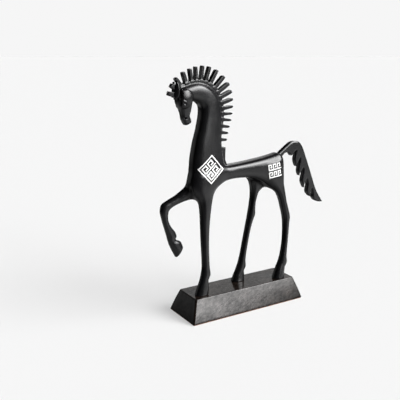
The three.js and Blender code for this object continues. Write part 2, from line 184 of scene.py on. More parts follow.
class Grid:
    """A block of evenly spaced places at which shapes are worked out as distances to their surface."""

    def __init__(self, low: Triple, high: Triple, step: float, reach: float) -> None:
        """Lays out the places.

        Args:
            low: The block's lowest corner, in millimetres.
            high: The block's highest corner.
            step: The gap between neighbouring places.
            reach: How far from a surface its distance is still known.
        """
        self.step = step
        self.reach = reach
        self.first = tuple(math.floor(value / step) for value in low)
        last = tuple(math.ceil(value / step) for value in high)
        self.shape = tuple(b - a + 1 for a, b in zip(self.first, last))
        steps = [(a + np.arange(n)) * step for a, n in zip(self.first, self.shape)]
        self.x, self.y, self.z = np.meshgrid(*steps, indexing="ij", sparse=True)

    def of_mesh(self, points: np.ndarray, triangles: np.ndarray) -> np.ndarray:
        """Works out the distance to a closed mesh.

        Args:
            points: The mesh's corners, in millimetres.
            triangles: Three corner numbers a row.

        Returns:
            The distance at each place, negative inside the mesh.
        """
        level = openvdb.FloatGrid.createLevelSetFromPolygons(
            points.astype(np.float32),
            triangles=triangles.astype(np.uint32),
            transform=openvdb.createLinearTransform(voxelSize=self.step),
            halfWidth=self.reach / self.step,
        )
        values = np.empty(self.shape, np.float32)
        level.copyToArray(values, ijk=self.first)
        return values

    def of_plate(
        self,
        outline: np.ndarray,
        thickness: float,
        bevel_in: float,
        bevel_across: float,
    ) -> np.ndarray:
        """Works out the distance to a flat plate that stands upright, across Y, with bevelled edges.

        Args:
            outline: The plate's outline in X and Z.
            thickness: How thick the plate is.
            bevel_in: How far the bevels reach into the plate's two faces.
            bevel_across: How far they reach across its edge.

        Returns:
            The distance at each place, negative inside the plate.
        """
        x, z = np.broadcast_arrays(self.x[:, 0, :], self.z[:, 0, :])
        edge = outward_edge_distance(outline, x, z)[:, None, :]
        face = np.abs(self.y) - thickness / 2
        size = math.hypot(bevel_in, bevel_across)
        bevel = (edge * bevel_across + (face + bevel_across) * bevel_in) / size
        shape = -joined(-edge, -face, self.step)
        return -joined(-shape, -bevel, self.step).astype(np.float32)

    def with_ball(self, shape: np.ndarray, ball: Ball, hand: int) -> np.ndarray:
        """Sets a ball into a shape, or cuts it out.

        Args:
            shape: The shape's distances.
            ball: The ball, as it lies on the right side.
            hand: 1 for the right side and -1 for the left.

        Returns:
            The changed shape's distances.
        """
        cos, sin = math.cos(math.radians(ball.tilt)), math.sin(math.radians(ball.tilt))
        x, y, z = self.x - ball.middle[0], self.y - hand * ball.middle[1], self.z - ball.middle[2]
        along, up = x * cos - z * sin, z * cos + x * sin
        size = np.sqrt((along / ball.radii[0]) ** 2 + (y / ball.radii[1]) ** 2 + (up / ball.radii[2]) ** 2)
        distance = ((size - 1) * min(ball.radii)).astype(np.float32)
        return carved(shape, distance, ball.ease) if ball.cut else joined(shape, distance, ball.ease)

    def of_disc(self, disc: Disc) -> np.ndarray:
        """Works out the distance to a disc.

        Args:
            disc: The disc.

        Returns:
            Roughly the distance at each place, negative inside the disc.
        """
        edge = np.hypot(self.x - disc.middle[0], self.z - disc.middle[1]) - (disc.radius - disc.rim)
        off = np.hypot(self.x - disc.bulge[0], self.z - disc.bulge[1])
        drop = disc.dome * np.minimum(off, disc.radius * disc.dome_reach) ** 2
        face = np.abs(self.y) - (disc.half_width - drop - disc.rim)
        corner = np.hypot(np.maximum(edge, 0), np.maximum(face, 0))
        return (corner + np.minimum(np.maximum(edge, face), 0) - disc.rim).astype(np.float32)

    def skin(self, values: np.ndarray, passes: int = 3, moves: int = 2) -> tuple[np.ndarray, np.ndarray]:
        """Stretches an even skin over a shape.

        Args:
            values: The shape's distances.
            passes: How often the skin is evened out and laid back on the shape.
            moves: How many moves lay it back.

        Returns:
            The skin's corners in millimetres, and four corner numbers a row.
        """
        level = openvdb.FloatGrid(self.reach)
        level.copyFromArray(np.clip(values, -self.reach, self.reach).astype(np.float32), ijk=self.first)
        level.transform = openvdb.createLinearTransform(voxelSize=self.step)
        points, quads = level.convertToQuads(0.0)
        points, quads = points.astype(float), quads.astype(np.int64)
        slopes = np.gradient(values, self.step)
        ends = np.concatenate([quads, np.roll(quads, -1, axis=1)]).reshape(2, -1)
        a, b = np.concatenate([ends[0], ends[1]]), np.concatenate([ends[1], ends[0]])
        count = np.bincount(a, minlength=len(points))[:, None]
        for _ in range(passes):
            sums = [np.bincount(a, points[b, k], len(points)) for k in range(3)]
            points = (points + np.stack(sums, 1) / np.maximum(count, 1)) / 2
            for _ in range(moves):
                slope = np.stack([self.read(s, points) for s in slopes], 1)
                steep = np.maximum((slope**2).sum(1), LEAST_SLOPE)
                points -= slope * (self.read(values, points) / steep)[:, None]
        return points, quads

    def read(self, values: np.ndarray, points: np.ndarray) -> np.ndarray:
        """Reads values between the block's places, by mixing the eight places around each point.

        Args:
            values: One value for each place.
            points: Where to read them, in millimetres.

        Returns:
            One value for each point.
        """
        place = points / self.step - np.array(self.first)
        place = np.clip(place, 0, np.array(self.shape) - INSIDE)
        low = place.astype(int)
        part = place - low
        total = np.zeros(len(points))
        for corner in np.ndindex(2, 2, 2):
            weight = np.prod(np.where(corner, part, 1 - part), axis=1)
            total += weight * values[tuple((low + corner).T)]
        return total


def triangles_of(quads: np.ndarray) -> np.ndarray:
    """Splits faces of four corners into triangles."""
    return np.concatenate([quads[:, [0, 1, 2]], quads[:, [0, 2, 3]]])


def turned_out(points: np.ndarray, faces: np.ndarray) -> np.ndarray:
    """Turns all the faces of a closed mesh round if they point inwards.

    Args:
        points: The mesh's corners.
        faces: Three or four corner numbers a row.

    Returns:
        The faces, which point outwards.
    """
    corners = triangles_of(faces) if faces.shape[1] == 4 else faces
    a, b, c = (points[corners[:, k]] for k in range(3))
    volume = np.einsum("ij,ij->i", a, np.cross(b, c)).sum()
    return faces[:, ::-1] if volume < 0 else faces


def linked(name: str, mesh: bpy.types.Mesh) -> bpy.types.Object:
    """Puts a mesh into the scene.

    Args:
        name: The object's name.
        mesh: Its mesh.

    Returns:
        The object, which lies at the origin.
    """
    piece = bpy.data.objects.new(name, mesh)
    bpy.context.scene.collection.objects.link(piece)
    return piece


def as_object(
    name: str,
    points: np.ndarray,
    faces: np.ndarray,
    material: bpy.types.Material,
) -> bpy.types.Object:
    """Makes a smooth piece.

    Args:
        name: The piece's name.
        points: Its corners, in millimetres.
        faces: The corner numbers of each face.
        material: What the piece is finished with.

    Returns:
        The piece.
    """
    mesh = bpy.data.meshes.new(name)
    mesh.from_pydata((points * METRES).tolist(), [], turned_out(points, faces).tolist())
    mesh.materials.append(material)
    mesh.shade_smooth()
    return linked(name, mesh)


def of_shell(name: str, shell: bmesh.types.BMesh, material: bpy.types.Material) -> bpy.types.Object:
    """Makes a piece of a shell, which is used up.

    Args:
        name: The piece's name.
        shell: The shell, in metres.
        material: What the piece is finished with.

    Returns:
        The piece.
    """
    mesh = bpy.data.meshes.new(name)
    shell.to_mesh(mesh)
    shell.free()
    mesh.materials.append(material)
    return linked(name, mesh)


class Term:
    """A number or a socket in a formula of nodes."""

    def __init__(self, nodes: "Nodes", value: Any) -> None:
        """Keeps the value and the node tree that it belongs to."""
        self.nodes = nodes
        self.value = value

    def __add__(self, other: Any) -> "Term":
        """The sum."""
        return self.nodes.math("ADD", self, other)

    def __sub__(self, other: Any) -> "Term":
        """The difference."""
        return self.nodes.math("SUBTRACT", self, other)

    def __mul__(self, other: Any) -> "Term":
        """The product."""
        return self.nodes.math("MULTIPLY", self, other)

    def __truediv__(self, other: Any) -> "Term":
        """The quotient."""
        return self.nodes.math("DIVIDE", self, other)

    def __rsub__(self, other: Any) -> "Term":
        """The difference, with the number first."""
        return self.nodes.math("SUBTRACT", other, self)

    def __lt__(self, other: Any) -> "Term":
        """1 where this is less than the other, else 0."""
        return self.nodes.math("LESS_THAN", self, other)

    def __gt__(self, other: Any) -> "Term":
        """1 where this is greater than the other, else 0."""
        return self.nodes.math("GREATER_THAN", self, other)

    def __abs__(self) -> "Term":
        """The size without the sign."""
        return self.nodes.math("ABSOLUTE", self)

    __radd__ = __add__
    __rmul__ = __mul__

    def wrapped(self, period: float) -> "Term":
        """What is left of this after whole periods are taken off."""
        return self.nodes.math("FLOORED_MODULO", self, period)

    def greatest(self, other: Any) -> "Term":
        """The greater of the two."""
        return self.nodes.math("MAXIMUM", self, other)

    def clamped(self, low: float, high: float) -> "Term":
        """This, kept between low and high."""
        return self.nodes.math("MINIMUM", self.greatest(low), high)

    def between(self, low: float, high: float) -> "Term":
        """1 where this lies between low and high, else 0."""
        return abs(self - (low + high) / 2) < (high - low) / 2

    def eased(self, start: float, end: float, to_start: float = 0.0, to_end: float = 1.0) -> "Term":
        """Maps a range smoothly onto another one.

        Args:
            start: Where the range starts.
            end: Where it ends.
            to_start: The value up to the start.
            to_end: The value from the end on.

        Returns:
            The mapped value.
        """
        made = self.nodes.make(
            "ShaderNodeMapRange",
            {"interpolation_type": "SMOOTHSTEP"},
            {"Value": self, "From Min": start, "From Max": end, "To Min": to_start, "To Max": to_end},
        )
        return Term(self.nodes, made.outputs["Result"])


class Nodes:
    """Builds one node tree."""

    def __init__(self, tree: bpy.types.NodeTree) -> None:
        """Starts with an empty tree."""
        self.tree = tree
        tree.nodes.clear()

    def make(self, kind: str, settings: dict[str, Any], inputs: dict[Any, Any]) -> bpy.types.Node:
        """Makes a node.

        Args:
            kind: The node's type.
            settings: Its own settings, which are set first.
            inputs: A value, a term or a socket for each input, by name or number.

        Returns:
            The node.
        """
        node = self.tree.nodes.new(kind)
        for name, value in settings.items():
            setattr(node, name, value)
        for name, value in inputs.items():
            self.plug(node.inputs[name], value)
        return node

    def plug(self, socket: bpy.types.NodeSocket, value: Any) -> None:
        """Gives an input a value, or links it to another node's output.

        Args:
            socket: The input.
            value: A plain value, a term or a socket.
        """
        if isinstance(value, Term):
            value = value.value
        if isinstance(value, bpy.types.NodeSocket):
            self.tree.links.new(value, socket)
        else:
            socket.default_value = value

    def math(self, operation: str, *values: Any) -> Term:
        """Adds one step of a formula on numbers."""
        node = self.make("ShaderNodeMath", {"operation": operation}, dict(enumerate(values)))
        return Term(self, node.outputs[0])

    def place(self) -> tuple[Term, Term, Term]:
        """Reads the place on the object.

        Returns:
            X, Y and Z in millimetres.
        """
        spot = self.make("ShaderNodeTexCoord", {}, {}).outputs["Object"]
        parts = self.make("ShaderNodeSeparateXYZ", {}, {0: spot}).outputs
        return tuple(Term(self, part) * (1 / METRES) for part in parts)

    def stretched(self, scale: Triple, slant: float) -> bpy.types.NodeSocket:
        """Reads the place on the object, in millimetres, turned about Y and multiplied along each axis.

        Args:
            scale: What each axis is multiplied by.
            slant: How far the place is turned, in degrees.

        Returns:
            The changed place.
        """
        spot = self.make("ShaderNodeTexCoord", {}, {}).outputs["Object"]
        turned = self.make(
            "ShaderNodeVectorRotate",
            {"rotation_type": "Y_AXIS"},
            {"Vector": spot, "Angle": math.radians(slant)},
        )
        inputs = {"Vector": turned.outputs[0], "Scale": [share / METRES for share in scale]}
        return self.make("ShaderNodeMapping", {}, inputs).outputs[0]

    def noise(
        self,
        size: float,
        detail: float,
        scale: Triple = (1, 1, 1),
        roughness: float = 0.5,
        slant: float = 0.0,
    ) -> Term:
        """Cloudy noise.

        Args:
            size: The size of its lumps, in millimetres.
            detail: How many finer layers it has.
            scale: How much it is squeezed along each axis.
            roughness: How strong the finer layers are.
            slant: How far its axes are turned about Y, in degrees.

        Returns:
            The noise, from 0 to 1.
        """
        spot = self.stretched(scale, slant)
        inputs = {"Vector": spot, "Scale": 1 / size, "Detail": detail, "Roughness": roughness}
        return Term(self, self.make("ShaderNodeTexNoise", {}, inputs).outputs[0])

    def mixed(self, share: Term, first: Any, second: Any) -> bpy.types.NodeSocket:
        """Mixes two colours.

        Args:
            share: How much of the second colour shows.
            first: The first colour, as three numbers or a socket.
            second: The second colour, likewise.

        Returns:
            The mixed colour.
        """
        ends = [(*end, 1) if isinstance(end, tuple) else end for end in (first, second)]
        mix = self.make("ShaderNodeMix", {"data_type": "RGBA"}, {"Factor": share, 6: ends[0], 7: ends[1]})
        return mix.outputs[2]

    def bump(self, height: Term, depth: float) -> bpy.types.NodeSocket:
        """Raises the surface by a height of up to `depth` millimetres."""
        inputs = {"Height": height, "Distance": depth * METRES, "Strength": 1.0}
        return self.make("ShaderNodeBump", {}, inputs).outputs[0]

    def surface(self, **inputs: Any) -> None:
        """Finishes the tree with the surface's shader.

        Args:
            inputs: A value, a term or a socket for each of the shader's inputs, by its name.
        """
        named = {name.replace("_", " "): value for name, value in inputs.items()}
        shader = self.make("ShaderNodeBsdfPrincipled", {}, named)
        self.make("ShaderNodeOutputMaterial", {}, {"Surface": shader.outputs[0]})


def new_material(name: str) -> tuple[bpy.types.Material, Nodes]:
    """Makes a material with an empty node tree.

    Args:
        name: The material's name.

    Returns:
        The material and its nodes.
    """
    material = bpy.data.materials.new(name)
    material.use_nodes = True
    return material, Nodes(material.node_tree)


@dataclass(frozen=True)
class KeyPanel:
    """A panel of running key pattern, painted in pale lines on both flanks.

    Each unit of the pattern is a square hook of five strokes that stands on a base line. A stroke is one
    cell wide, and `unit` gives a hook's cells across and up. The panel's middle is a place in X and Z,
    and it is turned by `turn` degrees. A frame, if it has one, is `line` wide and stands `gap` outside
    the pattern. Paint lies only where the surface is more than `depth` from the horse's middle plane.
    """

    middle: Pair
    turn: float
    half_width: float
    half_height: float
    columns: int
    rows: int
    unit: tuple[int, int]
    line: float = 0.0
    gap: float = 0.0
    depth: float = 3.0

    def strokes(self, nodes: Nodes) -> Term:
        """Draws the panel's lines.

        Args:
            nodes: The material's nodes.

        Returns:
            1 on the lines and 0 beside them.
        """
        x, y, z = nodes.place()
        cos, sin = math.cos(math.radians(self.turn)), math.sin(math.radians(self.turn))
        x, z = x - self.middle[0], z - self.middle[1]
        u, v = x * cos + z * sin, z * cos - x * sin
        inset = self.line + self.gap
        wide, high = self.unit
        cells_across, cells_up = self.columns * wide, self.rows * (high + 1) - 1
        across = (u + (self.half_width - inset)) * (cells_across / (2 * (self.half_width - inset)))
        up = (v + (self.half_height - inset)) * (cells_up / (2 * (self.half_height - inset)))
        within = across.between(0, cells_across) * up.between(0, cells_up)
        a, b = across.wrapped(wide), up.wrapped(high + 1)
        base = b < 1
        back = a < 1
        top = b.between(high - 1, high) * (a < wide - 1)
        front = a.between(wide - 2, wide - 1) * b.between(2, high)
        tongue = b.between(2, 3) * a.between(2, wide - 1)
        hook = base.greatest(back * (b < high)).greatest(top).greatest(front).greatest(tongue)
        on_flank = abs(y) > self.depth
        panel = hook * within * on_flank
        if not self.line:
            return panel
        edge = (abs(u) / self.half_width).greatest(abs(v) / self.half_height)
        thin = 1 - self.line / min(self.half_width, self.half_height)
        return panel.greatest(edge.between(thin, 1) * on_flank)


@dataclass(frozen=True)
class CastMetal:
    """Satin black cast metal, with a fine sandy grain, soft waves and the painted panels.

    Its black turns to the worn tone in large clouds and in specks. Sizes and depths are in millimetres.
    """

    name: str = "cast_metal"
    black: Triple = (0.004, 0.004, 0.0045)
    worn: Triple = (0.009, 0.009, 0.0098)
    paint: Triple = (0.80, 0.80, 0.79)
    roughness: Pair = (0.18, 0.26)
    grain: float = 0.8
    grain_depth: float = 0.065
    grain_roughness: float = 0.08
    wave: float = 7.0
    wave_depth: float = 0.12
    cloud: float = 14.0
    cloud_range: Pair = (0.35, 0.7)
    speck: float = 1.28
    speck_range: Pair = (0.62, 0.74)
    paint_roughness: float = 0.12
    panels: tuple[KeyPanel, ...] = ()

    def made(self) -> bpy.types.Material:
        """Builds the material.

        Returns:
            The material.
        """
        material, nodes = new_material(self.name)
        fine = nodes.noise(self.grain, 2)
        cloud = nodes.noise(self.cloud, 3)
        speck = nodes.noise(self.speck, 1).eased(*self.speck_range)
        wear = cloud.eased(*self.cloud_range) * 0.5 + speck * 0.5
        colour = nodes.mixed(wear, self.black, self.worn)
        low, high = self.roughness
        rough = cloud * (high - low) + low + (fine - 0.5) * self.grain_roughness
        height = (fine - 0.5) * (self.grain_depth / self.wave_depth) + nodes.noise(self.wave, 1)
        for panel in self.panels:
            painted = panel.strokes(nodes)
            colour = nodes.mixed(painted, colour, self.paint)
            rough = rough + painted * self.paint_roughness
        nodes.surface(Base_Color=colour, Roughness=rough, Normal=nodes.bump(height, self.wave_depth))
        return material


@dataclass(frozen=True)
class StainedWood:
    """Close-grained wood under a black stain and wax, which is worn to warm brown along the foot.

    Fibres, waves and pores are noise of three sizes, in millimetres, drawn out along X by their squeeze
    and slanted by some degrees. Ranges say where a noise is eased from nothing to full.
    """

    name: str = "stained_wood"
    stain: Triple = (0.0045, 0.0035, 0.003)
    pale: Triple = (0.020, 0.0135, 0.0105)
    bare: Triple = (0.30, 0.13, 0.06)
    roughness: Pair = (0.10, 0.16)
    lustre: float = 1.30
    wax: Pair = (0.0, 0.5)
    wax_roughness: float = 0.11
    slant: float = 24.0
    fibre: float = 2.1
    fibre_squeeze: Triple = (0.45, 1.0, 1.0)
    fibre_depth: float = 0.09
    fibre_share: float = 0.6
    wave: float = 10.5
    wave_squeeze: Triple = (0.5, 1.0, 1.0)
    wave_height: float = 0.5
    pore: float = 0.84
    pore_squeeze: Triple = (0.3, 1.0, 1.0)
    pore_range: Pair = (0.60, 0.72)
    pore_stain: float = 0.8
    pore_roughness: float = 0.1
    pore_height: float = 0.3
    pale_ranges: tuple[Pair, Pair] = ((0.35, 0.7), (0.4, 0.65))
    wax_ranges: tuple[Pair, Pair] = ((0.3, 0.7), (0.35, 0.65))
    worn_heights: Pair = (0.72, 1.2)
    worn_range: Pair = (0.3, 0.45)

    def mingled(self, streaks: Term, waves: Term, ranges: tuple[Pair, Pair]) -> Term:
        """Mixes the streaks and the waves, each eased over its own range."""
        streaks, waves = streaks.eased(*ranges[0]), waves.eased(*ranges[1])
        return streaks * self.fibre_share + waves * (1 - self.fibre_share)

    def made(self) -> bpy.types.Material:
        """Builds the material.

        Returns:
            The material.
        """
        material, nodes = new_material(self.name)
        streaks = nodes.noise(self.fibre, 3, self.fibre_squeeze, 0.6, self.slant)
        waves = nodes.noise(self.wave, 2, self.wave_squeeze, 0.5, self.slant)
        pores = nodes.noise(self.pore, 1, self.pore_squeeze, 0.5, self.slant).eased(*self.pore_range)
        share = self.mingled(streaks, waves, self.pale_ranges) * (1 - pores * self.pore_stain)
        _, _, height = nodes.place()
        worn = height.eased(*self.worn_heights, 1, 0) * streaks.eased(*self.worn_range)
        low, high = self.roughness
        thin, thick = self.wax
        grain = streaks + waves * self.wave_height - pores * self.pore_height
        nodes.surface(
            Base_Color=nodes.mixed(worn, nodes.mixed(share, self.stain, self.pale), self.bare),
            Roughness=streaks * (high - low) + low + pores * self.pore_roughness,
            IOR=self.lustre,
            Coat_Weight=self.mingled(streaks, waves, self.wax_ranges) * (thick - thin) + thin,
            Coat_Roughness=self.wax_roughness,
            Normal=nodes.bump(grain, self.fibre_depth),
        )
        return material


@dataclass(frozen=True)
class Rib:
    """One rib of a limb: its two edge points in X and Z, half its width and its shift to the side."""

    front: Pair
    back: Pair
    half_width: float
    side: float = 0.0


def ribs(*rows: Sequence[float]) -> tuple[Rib, ...]:
    """Makes ribs of rows: front X and Z, back X and Z, half the width and the shift to the side."""
    return tuple(Rib((row[0], row[1]), (row[2], row[3]), *row[4:]) for row in rows)


@dataclass(frozen=True)
class Limb:
    """A smooth skin over ribs. Its squareness is 2 for round ribs and larger for squarer ones."""

    ribs: tuple[Rib, ...]
    squareness: float
    rings_per_rib: int = 12
    sides: int = 72

    def skin(self) -> tuple[np.ndarray, np.ndarray]:
        """Builds the limb's closed mesh.

        Returns:
            The corners in millimetres, and triangles.
        """
        at = np.linspace(0, 1, (len(self.ribs) - 1) * self.rings_per_rib + 1)
        front = through([rib.front for rib in self.ribs], at, Spacing.CENTRIPETAL)
        back = through([rib.back for rib in self.ribs], at, Spacing.CENTRIPETAL)
        width = through([(rib.half_width, rib.side) for rib in self.ribs], at, Spacing.CENTRIPETAL)
        turn = (np.arange(self.sides) + 0.5) / self.sides * 2 * math.pi
        power = 2 / self.squareness
        along = np.sign(np.cos(turn)) * np.abs(np.cos(turn)) ** power
        across = np.sign(np.sin(turn)) * np.abs(np.sin(turn)) ** power
        middle, reach = (front + back) / 2, (front - back) / 2
        x = middle[:, :1] + reach[:, :1] * along
        y = width[:, 1:] + width[:, :1] * across
        z = middle[:, 1:] + reach[:, 1:] * along
        points = np.stack([x, y, z], -1).reshape(-1, 3)
        return points, turned_out(points, self.triangles(len(at)))

    def triangles(self, rings: int) -> np.ndarray:
        """Joins neighbouring rings, and closes the two ends.

        Args:
            rings: How many rings of corners there are.

        Returns:
            Three corner numbers a row.
        """
        corner = np.arange(self.sides)
        after = (corner + 1) % self.sides
        start = (np.arange(rings - 1) * self.sides)[:, None]
        a, b = start + corner, start + after
        walls = np.stack([a, b, b + self.sides, a + self.sides], -1).reshape(-1, 4)
        fan = np.stack([np.zeros(self.sides - 2, int), corner[2:], corner[1:-1]], -1)
        last = (rings - 1) * self.sides
        return np.concatenate([triangles_of(walls), fan, fan[:, ::-1] + last])


@dataclass
class Cast:
    """A piece of the casting, worked out on a grid between its lowest and its highest corner.

    Distances are known up to `reach` from its surface.
    """

    low: Triple
    high: Triple
    step: float
    reach: float

    def grid(self) -> Grid:
        """The grid that the piece is worked out on."""
        return Grid(self.low, self.high, self.step, self.reach)


@dataclass
class Body(Cast):
    """The trunk, the neck and the four legs, which run into each other with soft fillets."""

    low: Triple = (-84, -16, 20)
    high: Triple = (60, 14, 222)
    step: float = 0.6
    reach: float = 7.0
    trunk_fillet: float = 5.0
    leg_fillet: float = 4.5
    groove_radius: float = 8.3
    groove_depth: float = 0.5
    groove_width: float = 0.5
    neck: Limb = Limb(
        ribs(
            (-46.6, 112.6, -39.4, 112.6, 4),
            (-52.6, 117.6, -32.5, 118.4, 7.8),
            (-56, 127, -23, 127, 9.3),
            (-53.9, 139, -19, 137, 9.5),
            (-52.9, 151, -20.5, 150, 9),
            (-50.4, 164, -22.3, 163, 8.5),
            (-46.8, 177, -22.6, 176, 8),
            (-44.3, 190, -22.6, 189, 7.6),
            (-44.6, 196.8, -25.6, 202, 7.4),
            (-47.8, 200.4, -34.2, 212.8, 7.2),
            (-53, 202, -46.5, 217.2, 7.15),
            (-60, 203, -60, 214.9, 7.1),
            (-64.5, 203.5, -64.5, 213.6, 5.8),
        ),
        squareness=2.8,
    )
    trunk: Limb = Limb(
        ribs(
            (-38, 138, -38, 121, 8),
            (-22, 141.4, -24, 126, 9),
            (-12, 141.9, -14, 128.2, 9),
            (0, 142.6, -1, 128.3, 8.8),
            (14, 143.9, 12, 126.4, 9),
            (27, 145.4, 24, 121, 9.3),
            (37, 147, 34, 114.2, 9.4),
            (43.5, 148, 42, 113, 9.1),
            (46.6, 146, 46.2, 117, 8),
            (47.2, 142, 47.4, 122, 6),
        ),
        squareness=3.4,
    )
    legs: tuple[Limb, ...] = (
        # The front left leg stands.
        Limb(
            ribs(
                (-51, 134, -28, 134, 5, -3.6),
                (-52, 122.5, -31, 122.5, 5.2, -4.1),
                (-49.4, 115, -32.8, 115.4, 5.2, -4.6),
                (-47.5, 108, -34.7, 108, 4.9, -5.2),
                (-46.6, 99, -36.1, 99, 4.5, -5.6),
                (-46.4, 87, -37.5, 87, 4.1, -6),
                (-45.9, 71, -38.2, 71, 3.8, -6.4),
                (-45.2, 55, -37.9, 55, 3.7, -6.7),
                (-45.2, 48, -37.5, 48, 3.7, -6.8),
                (-46.1, 42, -36.7, 41.2, 4.1, -6.9),
                (-47.5, 36.5, -38.9, 35.6, 4, -7),
                (-49, 32.5, -38.8, 32, 4.3, -7),
                (-51.2, 27, -38.4, 27, 4.8, -7),
                (-53, GROUND, -39, GROUND, 5, -7),
            ),
            LEG_SQUARENESS,
        ),
        # The front right leg is lifted and bent.
        Limb(
            ribs(
                (-50, 129, -41, 113, 5, 3.4),
                (-57.6, 123.4, -51.6, 112.4, 5, 4.4),
                (-65, 118, -61.8, 110.2, 4.6, 5.5),
                (-73.6, 114, -69.8, 107, 4.2, 6),
                (-80, 110.4, -72.8, 104.4, 3.9, 6),
                (-81.5, 104.8, -73.9, 100.5, 3.6, 6),
                (-80, 96.5, -73.7, 95.4, 3.3, 6),
                (-77.6, 88, -71, 89.4, 3.2, 6),
                (-75.7, 81.4, -66.5, 83.2, 3.4, 6),
                (-74.9, 78.6, -65.4, 79.4, 3.5, 6),
                (-73.9, 75, -66.2, 76.6, 3.4, 6),
                (-72.5, 70.8, -61.2, 73.6, 4.1, 6),
                (-66.4, 58.8, -59.1, 69, 4.7, 6),
            ),
            LEG_SQUARENESS,
        ),
        # The hind right leg stands under the belly.
        Limb(
            ribs(
                (9, 133, 34, 132, 4.4, 3.8),
                (12, 126, 34, 118, 4.7, 4.2),
                (15, 120.4, 30.4, 113.8, 4.7, 4.6),
                (16.9, 114, 25.7, 109.8, 4.5, 4.9),
                (17.4, 107, 23.8, 105.2, 4.2, 5.2),
                (16.8, 100, 22.6, 99.6, 4, 5.4),
                (15.8, 94, 22.5, 93.6, 3.9, 5.5),
                (14.6, 87.6, 22.6, 88, 3.9, 5.6),
                (13.6, 82.4, 20.4, 82.2, 3.7, 5.7),
                (11.9, 73.6, 17.8, 74, 3.5, 5.8),
                (9.2, 60.6, 15.2, 61, 3.4, 5.9),
                (7.1, 49.8, 13.4, 50, 3.4, 6),
                (5.3, 42.6, 12.5, 42.2, 3.6, 6),
                (3.2, 36.6, 12.9, 35.8, 3.9, 6),
                (1.4, 32.4, 10.9, 31.8, 3.9, 6),
                (-0.5, 28.6, 11, 28, 4.3, 6),
                (-3, GROUND, 11.2, GROUND, 5.2, 6),
            ),
            LEG_SQUARENESS,
        ),
        # The hind left leg stands furthest back.
        Limb(
            ribs(
                (28, 139, 44, 141, 5.2, -3.8),
                (27.5, 127.6, 46.4, 130, 5.2, -4.1),
                (31.5, 121, 48, 121.6, 5.1, -4.4),
                (36.8, 114.6, 49.5, 114.6, 5, -4.9),
                (41.4, 107.4, 50.6, 108, 4.7, -5.4),
                (44.2, 101, 51.8, 101.4, 4.5, -5.7),
                (45.9, 94.4, 53.7, 94.6, 4.3, -6),
                (47.7, 87.4, 55.8, 87.8, 4.2, -6.3),
                (48.7, 82, 56.5, 83, 4.1, -6.5),
                (49.1, 76.4, 55.7, 76, 3.8, -6.8),
                (49, 67, 55, 67, 3.5, -7.2),
                (48.1, 57, 54, 57, 3.4, -7.7),
                (46.8, 49.6, 53.2, 50, 3.5, -8),
                (45.4, 44, 52.7, 43.6, 3.8, -8.3),
                (43, 38, 53.3, 36.8, 4, -8.5),
                (40.8, 33.8, 50.9, 32.6, 4.1, -8.7),
                (39.1, 29.6, 50.2, 29, 4.5, -8.8),
                (36.3, GROUND, 49.7, GROUND, 5.1, -9),
            ),
            LEG_SQUARENESS,
        ),
    )

    def build(self, material: bpy.types.Material) -> bpy.types.Object:
        """Builds the body as one piece, with a fine groove in the neck round the cheek.

        Args:
            material: What the body is finished with.

        Returns:
            The body.
        """
        grid = self.grid()
        neck, trunk = grid.of_mesh(*self.neck.skin()), grid.of_mesh(*self.trunk.skin())
        shape = joined(neck, trunk, self.trunk_fillet)
        for leg in self.legs:
            shape = joined(shape, grid.of_mesh(*leg.skin()), self.leg_fillet)
        beside = np.hypot(grid.x - CHEEK_MIDDLE[0], grid.z - CHEEK_MIDDLE[1]) - self.groove_radius
        shape = shape + self.groove_depth * np.exp(-((beside / self.groove_width) ** 2))
        shape = np.maximum(shape, GROUND - grid.z).astype(np.float32)
        return as_object("body", *grid.skin(shape), material)


